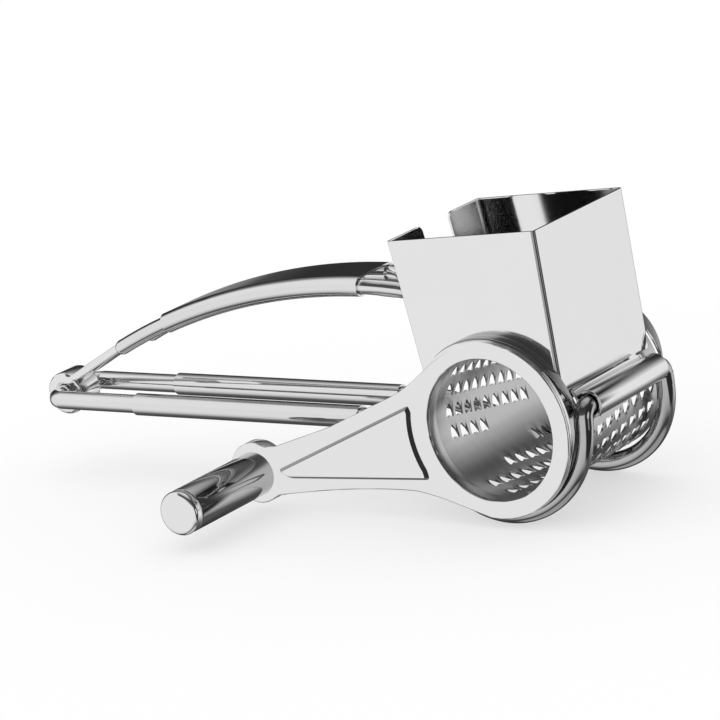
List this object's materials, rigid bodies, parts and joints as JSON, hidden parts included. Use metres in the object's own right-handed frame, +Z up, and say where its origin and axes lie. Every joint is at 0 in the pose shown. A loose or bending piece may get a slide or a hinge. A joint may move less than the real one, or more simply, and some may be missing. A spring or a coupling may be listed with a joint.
{
  "type": "rotary drum grater",
  "caption": "Hand-held steel drum grater: a crank turns a toothed drum under a hopper, and a hinged upper handle presses the food down onto it.",
  "frame": {"origin": "centre of the bottom face of the bounding box", "axes": "+X towards the hopper's front wall, +Y along the drum axis away from the crank, +Z up, lower handle level"},
  "size_m": [0.2176, 0.0996, 0.0886],
  "materials": {
    "polished_sheet": "polished",
    "polished_wire": "polished",
    "satin_sheet": "satin",
    "mirror_grip": "mirror polished"
  },
  "bodies": {
    "frame": {"frame_rear_bar": "polished_wire", "frame_arm_near": "polished_wire", "frame_arm_far": "polished_wire", "frame_ring_near": "polished_wire", "frame_ring_far": "polished_wire", "frame_front_bar": "polished_wire", "lower_sleeve_near": "mirror_grip", "lower_sleeve_far": "mirror_grip", "hopper_front": "polished_sheet", "hopper_side_near": "polished_sheet", "hopper_side_far": "polished_sheet", "hopper_rear_near": "polished_sheet", "hopper_rear_far": "polished_sheet"},
    "upper_handle": {"hinge_strap": "polished_sheet", "upper_wire_near": "polished_wire", "upper_wire_far": "polished_wire", "upper_grip": "mirror_grip", "presser_shoe": "satin_sheet", "presser_bracket": "satin_sheet"},
    "crank": {"drum_tube": "satin_sheet", "drum_flange": "polished_sheet", "crank_plate": "polished_sheet", "grip_axle": "polished_wire"},
    "grip": {"grip_tube": "mirror_grip", "grip_cap": "mirror_grip"}
  },
  "joints": [
    {"name": "upper_handle_swing", "type": "hinge", "parent": "frame", "child": "upper_handle", "pos_m": [-0.102, 0.0215, 0.02512], "axis": [0, -1, 0], "range_deg": [0, 100]},
    {"name": "crank_turn", "type": "hinge", "parent": "frame", "child": "crank", "pos_m": [0.0769, 0.0215, 0.02992], "axis": [0, 1, 0], "continuous": true},
    {"name": "grip_spin", "type": "hinge", "parent": "crank", "child": "grip", "pos_m": [-0.01, -0.0295, 0.01222], "axis": [0, 1, 0], "continuous": true}
  ]
}
